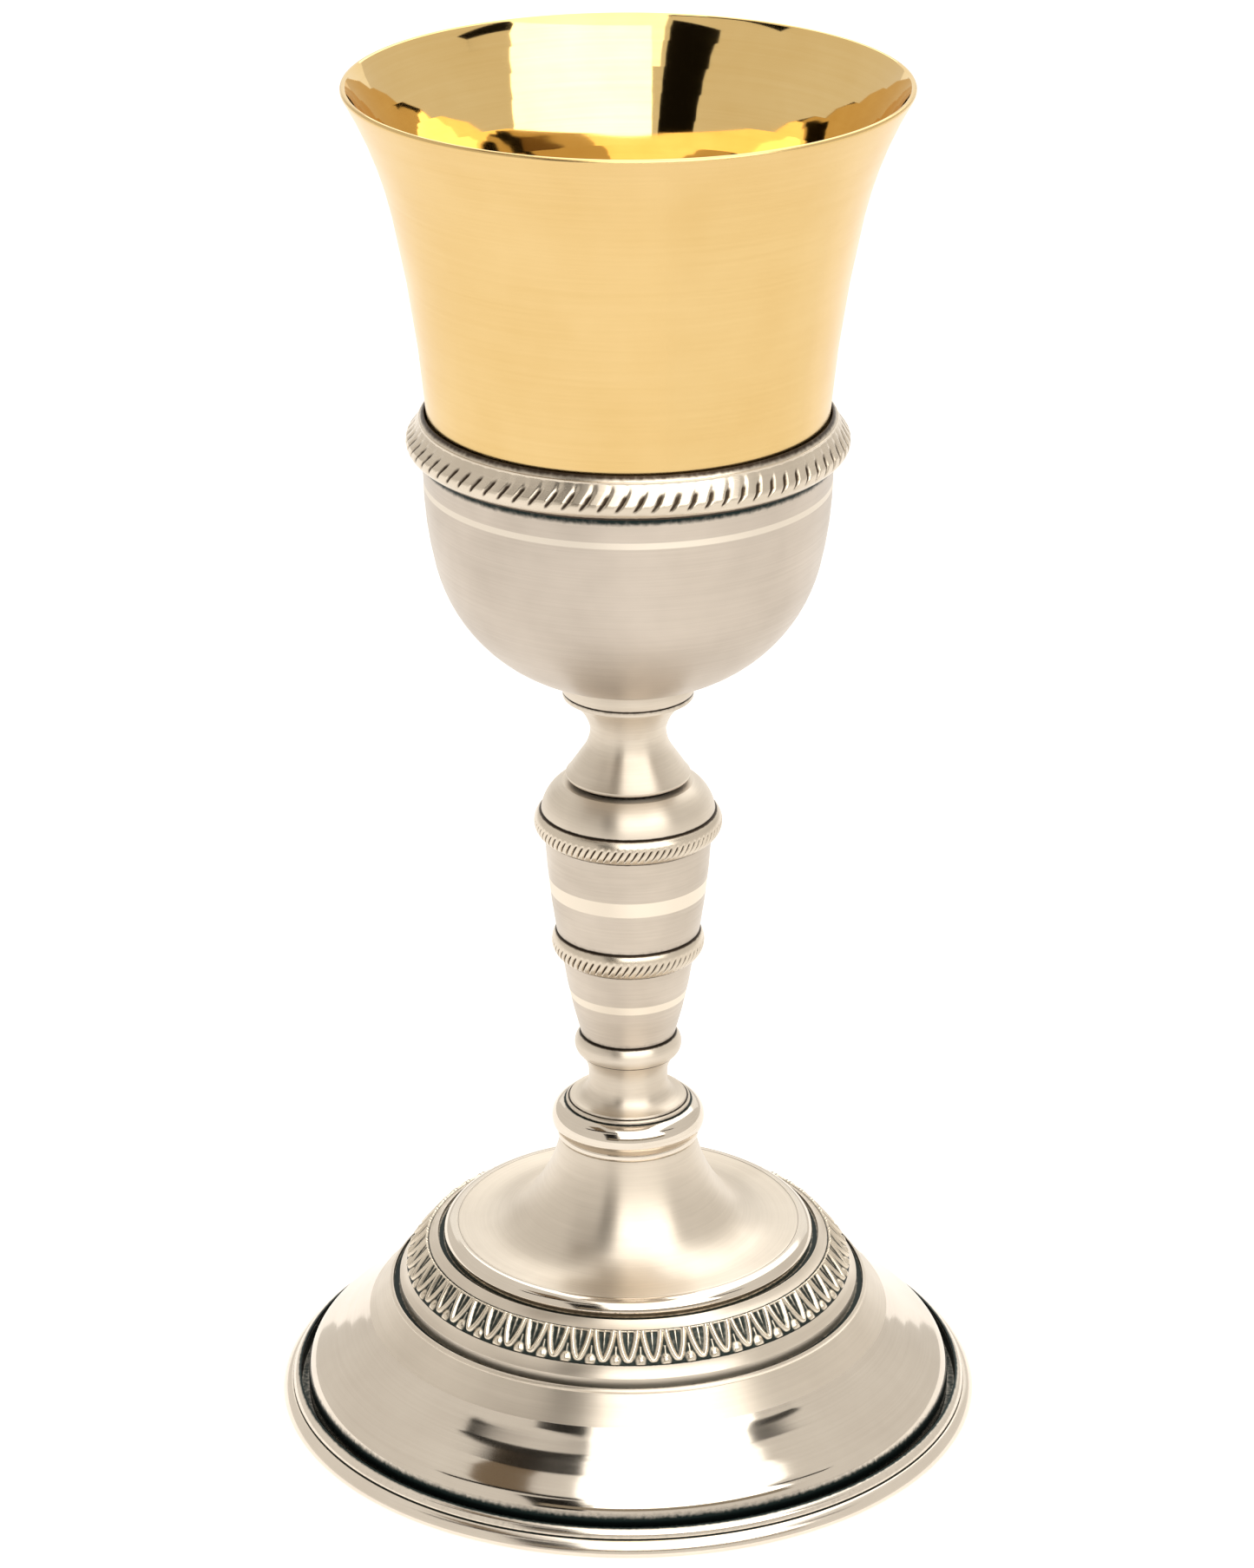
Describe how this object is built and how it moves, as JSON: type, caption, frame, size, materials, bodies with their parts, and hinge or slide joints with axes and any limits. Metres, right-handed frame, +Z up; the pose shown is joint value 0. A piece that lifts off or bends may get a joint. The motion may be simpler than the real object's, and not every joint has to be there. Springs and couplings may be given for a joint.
{
  "type": "communion chalice",
  "caption": "Silver-plated communion chalice: gilt flared cup lifting out of a calyx on a knopped stem and stepped round foot, clamped by a rod and a nut under the foot.",
  "frame": {"origin": "centre of the foot on the surface that the chalice stands on", "axes": "+Z up along the axis of the stem, through the middle of the cup; X and Y are alike"},
  "size_m": [0.1238, 0.1238, 0.2401],
  "materials": {
    "gilt": "gold plate on brass, mirror inside, soft polish outside",
    "gilt_inner": "gold plate on brass, as turned",
    "silver_satin": "silver plate on brass, brushed round, darkened in the grooves",
    "silver_polished": "silver plate on brass, mirror polish",
    "silver_oxidised": "silver plate on brass, bright on the high points and oxidised black in the recesses",
    "brass_inner": "plain turned brass",
    "steel_fixings": "bright zinc-plated steel"
  },
  "bodies": {
    "stand": {"base_moulding": "silver_satin", "foot_dome": "silver_satin", "foot_tier": "silver_satin", "leaf_frieze": "silver_oxidised", "foot_trumpet": "silver_satin", "foot_boss": "brass_inner", "foot_collar_ring": "silver_polished", "lower_spool": "silver_satin", "knop_lower_drum": "silver_satin", "knop_middle_bead": "silver_satin", "knop_upper_drum": "silver_satin", "knop_upper_bead": "silver_satin", "knop_shoulder": "silver_satin", "baluster": "silver_satin", "under_cup_collar": "silver_satin", "calyx": "silver_satin", "calyx_rope_band": "silver_oxidised", "calyx_washer": "steel_fixings", "calyx_nut": "steel_fixings", "tie_rod": "steel_fixings"},
    "lift_out_cup": {"cup": "gilt", "cup_boss": "gilt_inner"},
    "loose_washer": {"foot_washer": "steel_fixings"},
    "loose_nut": {"foot_nut": "steel_fixings"}
  },
  "joints": [
    {"name": "cup_lift", "type": "slide", "parent": "stand", "child": "lift_out_cup", "axis": [0, 0, 1], "range_m": [0, 0.05]},
    {"name": "washer_drop", "type": "slide", "parent": "stand", "child": "loose_washer", "axis": [0, 0, -1], "range_m": [0, 0.012]},
    {"name": "nut_turn", "type": "hinge", "parent": "loose_washer", "child": "loose_nut", "pos_m": [0, 0, 0.0394], "axis": [0, 0, -1], "range_deg": [0, 4320]}
  ],
  "couplings": [
    {"joint": "nut_turn", "follows": "washer_drop", "rad_per_m": 6283.2}
  ]
}
